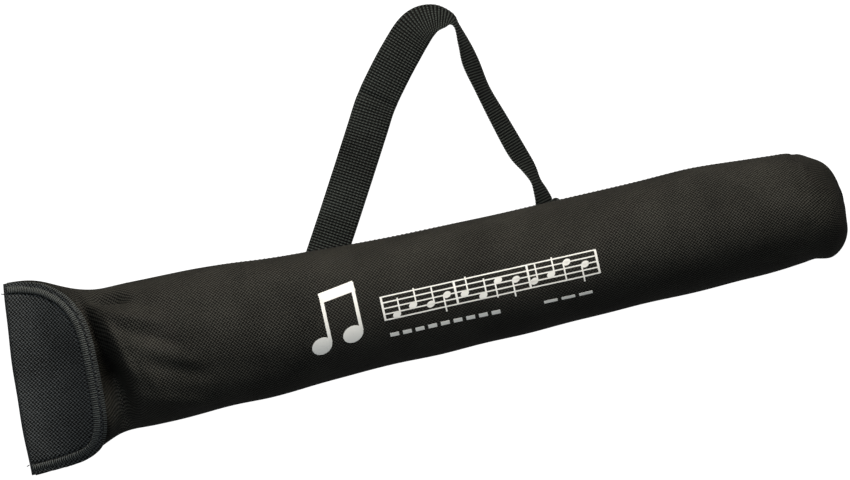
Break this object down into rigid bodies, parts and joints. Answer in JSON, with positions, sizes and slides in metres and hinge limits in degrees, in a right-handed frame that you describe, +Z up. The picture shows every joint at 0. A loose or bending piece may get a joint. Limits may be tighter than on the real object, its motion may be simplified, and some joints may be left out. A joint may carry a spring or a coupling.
{
  "type": "music stand in carrying bag",
  "caption": "Folding music stand packed in a slim black nylon carrying bag with a fold-over flap at its mouth and a webbing carrying strap.",
  "frame": {"origin": "centre of the flat underside of the bag, on the surface that it lies on", "axes": "+X along the bag towards its closed end, +Y towards the carrying strap, +Z up out of the printed front"},
  "size_m": [0.6217, 0.2749, 0.0861],
  "materials": {
    "nylon": "coarse woven",
    "webbing": "ribbed webbing",
    "binding": "woven tape",
    "hook_and_loop": "napped",
    "print_white": "matte ink",
    "black_steel": "satin",
    "plated_steel": "bright",
    "black_plastic": "matte",
    "rubber": "matte"
  },
  "bodies": {
    "bag": {"body_panel": "nylon", "mouth_back_panel": "nylon", "flap_fold": "nylon", "end_cap": "nylon", "end_seam_piping": "binding", "side_seam": "binding", "strap_root_left": "webbing", "strap_root_right": "webbing"},
    "flap": {"flap_panel": "nylon", "flap_binding": "binding", "hook_patch": "hook_and_loop"},
    "mouth_lip": {"mouth_front_panel": "nylon", "mouth_hem": "binding", "loop_patch": "hook_and_loop"},
    "strap": {"shoulder_strap": "webbing"},
    "stand": {"base_tube": "black_steel", "middle_tube": "plated_steel", "top_rod": "plated_steel", "tube_end_plug": "black_plastic", "base_tube_collar": "black_plastic", "middle_tube_collar": "black_plastic", "desk_socket": "black_plastic", "leg_hub": "black_plastic", "strut_hub": "black_plastic", "leg_1": "black_steel", "leg_2": "black_steel", "leg_3": "black_steel", "foot_1": "rubber", "foot_2": "rubber", "foot_3": "rubber", "strut_1": "plated_steel", "strut_2": "plated_steel", "strut_3": "plated_steel", "leg_pins": "plated_steel", "strut_pins": "plated_steel", "desk_spine_lower": "black_steel", "desk_ledge_left": "black_steel", "desk_ledge_right": "black_steel", "desk_arm_left": "black_steel", "desk_arm_right": "black_steel", "desk_brace_left": "black_steel", "desk_brace_right": "black_steel", "desk_spine_upper": "black_steel", "desk_rivets": "plated_steel", "page_clip_left": "plated_steel", "page_clip_right": "plated_steel"},
    "base_tube_knob": {"base_tube_knob": "black_plastic"},
    "middle_tube_knob": {"middle_tube_knob": "black_plastic"},
    "desk_knob": {"desk_knob": "black_plastic"}
  },
  "joints": [
    {"name": "stand_slide", "type": "slide", "parent": "bag", "child": "stand", "axis": [-1, 0, 0], "range_m": [0, 0.61], "deforming": ["flap_panel", "flap_binding", "hook_patch", "mouth_front_panel", "mouth_hem", "loop_patch", "flap_fold"]},
    {"name": "flap_hinge", "type": "hinge", "parent": "bag", "child": "flap", "pos_m": [-0.308, 0, 0.0036], "axis": [-0.0706, -0.9975, 0], "range_deg": [0, 140]},
    {"name": "mouth_hinge", "type": "hinge", "parent": "bag", "child": "mouth_lip", "pos_m": [-0.2195, 0, 0.0705], "axis": [0, 1, 0], "range_deg": [0, 40]},
    {"name": "strap_hinge", "type": "hinge", "parent": "bag", "child": "strap", "pos_m": [0.017, 0.062, 0.01], "axis": [1, 0, 0], "range_deg": [0, 80], "deforming": ["strap_root_left", "strap_root_right"]},
    {"name": "base_tube_knob_turn", "type": "hinge", "parent": "stand", "child": "base_tube_knob", "pos_m": [-0.0955, 0.018, 0.03], "axis": [0, 1, 0], "continuous": true},
    {"name": "middle_tube_knob_turn", "type": "hinge", "parent": "stand", "child": "middle_tube_knob", "pos_m": [-0.1525, 0.016, 0.03], "axis": [0, 1, 0], "continuous": true},
    {"name": "desk_knob_turn", "type": "hinge", "parent": "stand", "child": "desk_knob", "pos_m": [-0.2015, 0.014, 0.03], "axis": [0, 1, 0], "continuous": true}
  ],
  "couplings": [
    {"joint": "flap_hinge", "follows": "stand_slide", "rad_per_m": 4},
    {"joint": "mouth_hinge", "follows": "stand_slide", "rad_per_m": 1.14}
  ]
}
